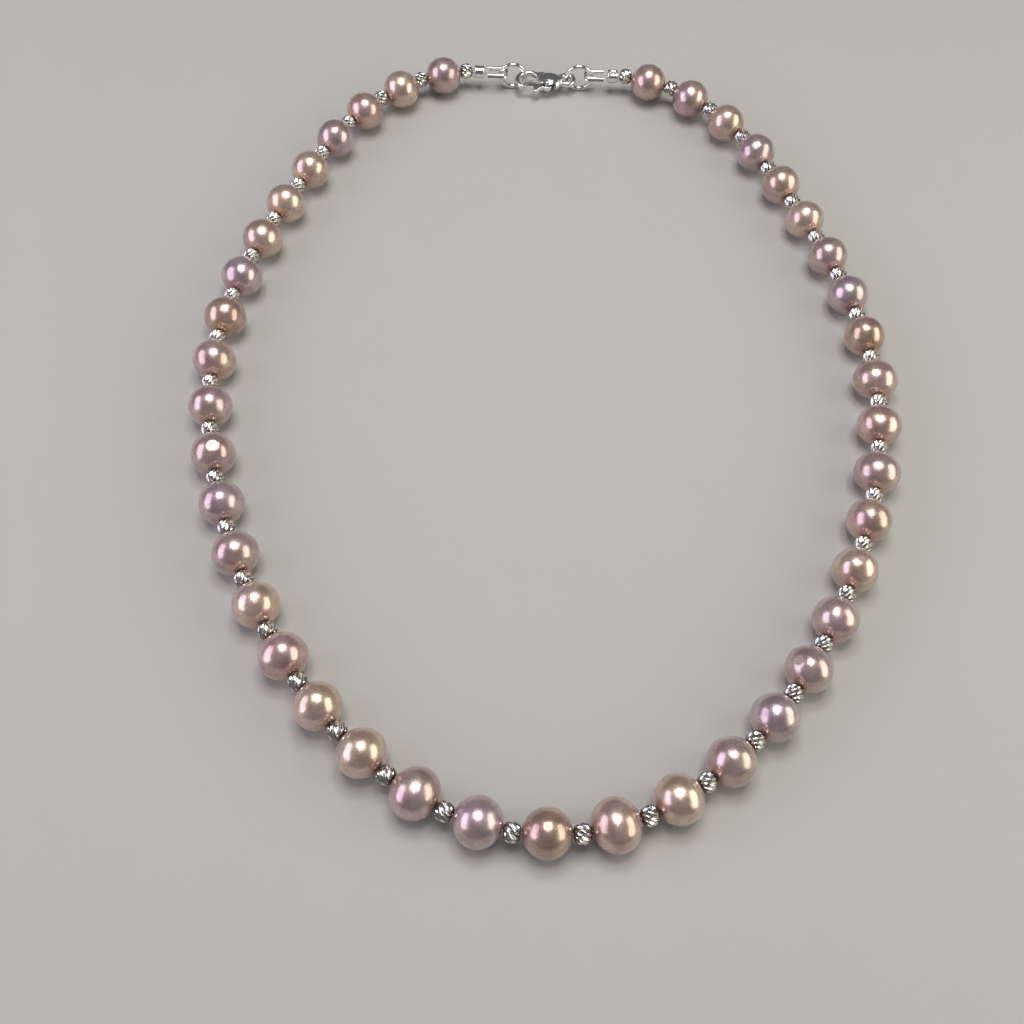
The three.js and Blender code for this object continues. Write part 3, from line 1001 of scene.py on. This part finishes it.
def make_clasp_body():
    """A lost-wax casting: hook, swelling belly with a slot for the lever, and eye."""
    tip_middle = (THROAT_INNER + THROAT_OUTER) / 2
    tip = math.radians(TIP_ANGLE)
    tip_place = (THROAT[0] + tip_middle * math.cos(tip), THROAT[1] + tip_middle * math.sin(tip))
    claw = [
        *flat_arc(tip_place, 0.5, TIP_ANGLE + 170, TIP_ANGLE + 20, 8),
        *flat_arc(THROAT, THROAT_OUTER, TIP_ANGLE, 55, 40),
        (0.2, 1.7),
        (1.7, 1.5),
        (2.9, 1.3),
        *flat_arc(EYE, EYE_OUTER, 140, -140, 36),
        (2.6, -2.3),
        (1.7, -2.85),
        (0.6, -2.75),
        (-0.4, -2.2),
        *flat_arc(THROAT, THROAT_INNER, -35, TIP_ANGLE - 4, 40),
    ]
    hole = flat_arc(EYE, EYE_INNER, 0, 350, 35)
    arm = rounded_plate(claw, [hole], CLAW_THICKNESS, CLAW_ROUNDING, CLASP_MIDDLE)
    belly = ellipsoid((1.5, -0.6, CLASP_MIDDLE), (2.5, 2.3, 1.3))
    neck = ellipsoid((2.9, -0.4, CLASP_MIDDLE), (1.45, 1.4, 0.9))
    shoulder = ellipsoid((0.15, 0.95, CLASP_MIDDLE), (1.35, 0.8, 0.85))
    casting = cast([arm, belly, neck, shoulder], CASTING_VOXEL, CASTING_ROUNDS)
    slot = block((-1.7, -4.0, CLASP_MIDDLE - SLOT_HALF), (2.8, -0.95, CLASP_MIDDLE + SLOT_HALF))
    bore = rounded_plate(flat_arc(PIVOT, PIN_HOLE, 0, 350, 35), [], 5.0, 0.01, CLASP_MIDDLE)
    mesh = to_place(cut_away(casting, [slot, bore]))
    finish_mesh(mesh, smooth_silver, math.radians(45))
    piece("clasp_casting", mesh, "clasp", "polished_silver", "clasp_body")


def make_lever():
    """The gate that closes the hook, with a ribbed thumb tab."""
    outline = [
        (-3.35, -2.05),
        (-3.42, -2.5),
        (-3.2, -2.72),
        (-1.9, -2.78),
        (-1.72, -3.0),
        (-1.78, -3.6),
        (-1.62, -3.88),
        (-1.2, -3.95),
        (-0.9, -3.78),
        (-0.5, -3.1),
        (0.05, -2.8),
        *flat_arc(PIVOT, LEVER_ROOT, 222, 520, 40),
        (-0.6, -1.86),
        (-2.2, -1.92),
    ]
    hole = flat_arc(PIVOT, PIN_HOLE, 0, 350, 35)
    blade = rounded_plate(outline, [hole], LEVER_THICKNESS, LEVER_ROUNDING, CLASP_MIDDLE)
    ribs = []
    for i in range(4):
        place = (-1.76 + RIB_PITCH * i, -3.72 - 0.05 * min(i, 1), CLASP_MIDDLE)
        ribs.append(ellipsoid(place, RIB_SIZES, 16))
    mesh = to_place(joined([blade, *ribs]))
    finish_mesh(mesh, smooth_silver, math.radians(40))
    piece("lever_gate", mesh, "lever", "polished_silver", "clasp_lever")


def make_pin():
    """The rivet that the lever turns on, its ends spread into low domes."""
    # Each dome, as the distance from its end and the radius there.
    dome = [(0.0, 0.001), (0.03, 0.25), (0.12, PIN_HEAD - 0.08), (0.2, PIN_HEAD - 0.2)]
    dome.append((0.24, PIN_RADIUS))
    profile = [(-PIN_HALF + along, radius) for along, radius in dome]
    profile += [(PIN_HALF - along, radius) for along, radius in reversed(dome)]
    mesh = lathe(profile, 36)
    mesh.transform(Matrix.Rotation(-math.pi / 2, 4, "Y"))
    mesh.transform(Matrix.Translation((*PIVOT, CLASP_MIDDLE)))
    finish_mesh(to_place(mesh), drawn_steel, math.radians(50))
    piece("rivet", mesh, "clasp", "spring_steel", "lever_pin")


def make_spring():
    """A bowed leaf in the slot behind the lever's root."""
    outer = flat_arc(LEAF_MIDDLE, LEAF_OUTER, LEAF_START, LEAF_END, 20)
    inner = flat_arc(LEAF_MIDDLE, LEAF_INNER, LEAF_END, LEAF_START, 20)
    mesh = rounded_plate([*outer, *inner], [], 0.86, 0.05, CLASP_MIDDLE)
    finish_mesh(to_place(mesh), drawn_steel, math.radians(40))
    piece("leaf_spring", mesh, "clasp", "spring_steel", "lever_spring")


make_pearls()
make_beads()
make_wires()
make_crimps()
make_guards()
make_rings()
make_clasp_body()
make_lever()
make_pin()
make_spring()


# ---- studio ----
KEY_DISTANCE, KEY_HALF, KEY_STRENGTH, KEY_HOLE = 0.62, 0.165, 11.0, 0.48
SPOT_HALF, SPOT_STRENGTH = 0.02, 16.0
STRIP_DISTANCE, STRIP_HALF_WIDTH, STRIP_HALF_HEIGHT, STRIP_STRENGTH = 0.55, 0.16, 0.3, 2.9
ROOM_STRENGTH = 0.14
STRAND_MIDDLE = Vector((0, 0, PEARL_RADIUS))
CAMERA_PLACE = Vector((-8.6, -121.0, 159.0)) * MM
CAMERA_YAW, CAMERA_PITCH, CAMERA_ROLL = 1.98, 58.38, 3.25
CAMERA_LENS, CAMERA_SENSOR = 42.19, 36


def plain_material(name, colour, roughness):
    material, tree = shader_tree(name)
    mottle = tree.noise(object_place(tree, scale=(60.0, 60.0, 60.0)), 1.0, 2.0)
    tint = mixed(tree, mottle, colour, [channel * 0.985 for channel in colour[:3]] + [1.0])
    finish_shader(tree, {"Specular IOR Level": 0.25}, Base_Color=tint, Roughness=roughness)
    return material


def make_floor():
    size = 3.0
    mesh = bpy.data.meshes.new("floor")
    corners = [(-size, -size, 0), (size, -size, 0), (size, size, 0), (-size, size, 0)]
    mesh.from_pydata(corners, [], [(0, 1, 2, 3)])
    mesh.materials.append(plain_material("pale_surface", rgb(0xB4B1AA), 0.75))
    floor = bpy.data.objects.new("floor", mesh)
    bpy.context.scene.collection.objects.link(floor)


def glow_material(name, colour, strength):
    material, tree = shader_tree(name)
    emission = tree.node("ShaderNodeEmission", None, Color=[*colour, 1.0], Strength=strength)
    tree.node("ShaderNodeOutputMaterial", None, emission)
    return material


def squircle(half_width, half_height, power, steps):
    """A rounded rectangle as (x, y) points."""
    points = []
    for i in range(steps):
        c, s = math.cos(TURN * i / steps), math.sin(TURN * i / steps)
        x = math.copysign(abs(c) ** (2 / power), c) * half_width
        y = math.copysign(abs(s) ** (2 / power), s) * half_height
        points.append((x, y))
    return points


def light_panel(name, place, half_sizes, colour, strength, up=(0, 1, 0), hole=0.0, power=4.0):
    """A glowing panel that faces the strand, unseen by the camera; hole is the dark middle's share."""
    steps = 64
    outer = squircle(*half_sizes, power, steps)
    mesh = bpy.data.meshes.new(name)
    if hole:
        inner = [(x * hole, y * hole) for x, y in outer]
        points = [(x, y, 0) for x, y in outer + inner]
        faces = [(i, (i + 1) % steps, steps + (i + 1) % steps, steps + i) for i in range(steps)]
    else:
        points = [(x, y, 0) for x, y in outer]
        faces = [tuple(range(steps))]
    mesh.from_pydata(points, [], faces)
    mesh.materials.append(glow_material(name + "_glow", colour, strength))
    panel = bpy.data.objects.new(name, mesh)
    back = (place - STRAND_MIDDLE).normalized()
    across = Vector(up).cross(back).normalized()
    turn = Matrix((across, back.cross(across), back)).transposed().to_4x4()
    panel.matrix_world = Matrix.Translation(place) @ turn
    bpy.context.scene.collection.objects.link(panel)
    panel.visible_camera = False


def make_lights():
    above = STRAND_MIDDLE + Vector((-0.01, 0.12, 0.99)).normalized() * KEY_DISTANCE
    beside = above + Vector((0.0, -0.25, 0.0))
    lean = (0, 0.852, 0.524)
    cool, plain = (0.97, 0.98, 1.0), (1.0, 1.0, 1.0)
    light_panel("key_ring", above, (KEY_HALF, KEY_HALF), cool, KEY_STRENGTH, hole=KEY_HOLE)
    light_panel("key_spot", beside, (SPOT_HALF, SPOT_HALF), plain, SPOT_STRENGTH, power=2.0)
    for name, side, colour in (
        ("left_strip", -1, (0.86, 0.8, 1.0)),
        ("right_strip", 1, (1.0, 0.98, 0.85)),
    ):
        place = STRAND_MIDDLE + Vector((side * 0.86, -0.16, 0.46)).normalized() * STRIP_DISTANCE
        light_panel(name, place, (STRIP_HALF_WIDTH, STRIP_HALF_HEIGHT), colour, STRIP_STRENGTH, up=lean)
    world = bpy.data.worlds.new("dim_room")
    world.use_nodes = True
    world.node_tree.nodes.clear()
    tree = Tree(world.node_tree)
    sky = [0.9, 0.93, 1.0, 1.0]
    background = tree.node("ShaderNodeBackground", None, Color=sky, Strength=ROOM_STRENGTH)
    tree.node("ShaderNodeOutputWorld", None, background)
    bpy.context.scene.world = world


def make_camera():
    data = bpy.data.cameras.new("camera")
    data.sensor_width = CAMERA_SENSOR
    data.lens = CAMERA_LENS
    data.clip_start = 0.01
    camera = bpy.data.objects.new("camera", data)
    yaw, pitch, roll = (math.radians(a) for a in (CAMERA_YAW, CAMERA_PITCH, CAMERA_ROLL))
    forward = Vector(
        (math.sin(yaw) * math.cos(pitch), math.cos(yaw) * math.cos(pitch), -math.sin(pitch))
    )
    level = Vector((math.cos(yaw), -math.sin(yaw), 0))
    up = level.cross(forward)
    right = math.cos(roll) * level + math.sin(roll) * up
    top = -math.sin(roll) * level + math.cos(roll) * up
    turn = Matrix((right, top, -forward)).transposed().to_4x4()
    camera.matrix_world = Matrix.Translation(CAMERA_PLACE) @ turn
    bpy.context.scene.collection.objects.link(camera)
    bpy.context.scene.camera = camera
    bpy.context.scene.view_settings.view_transform = "Standard"


make_floor()
make_lights()
make_camera()
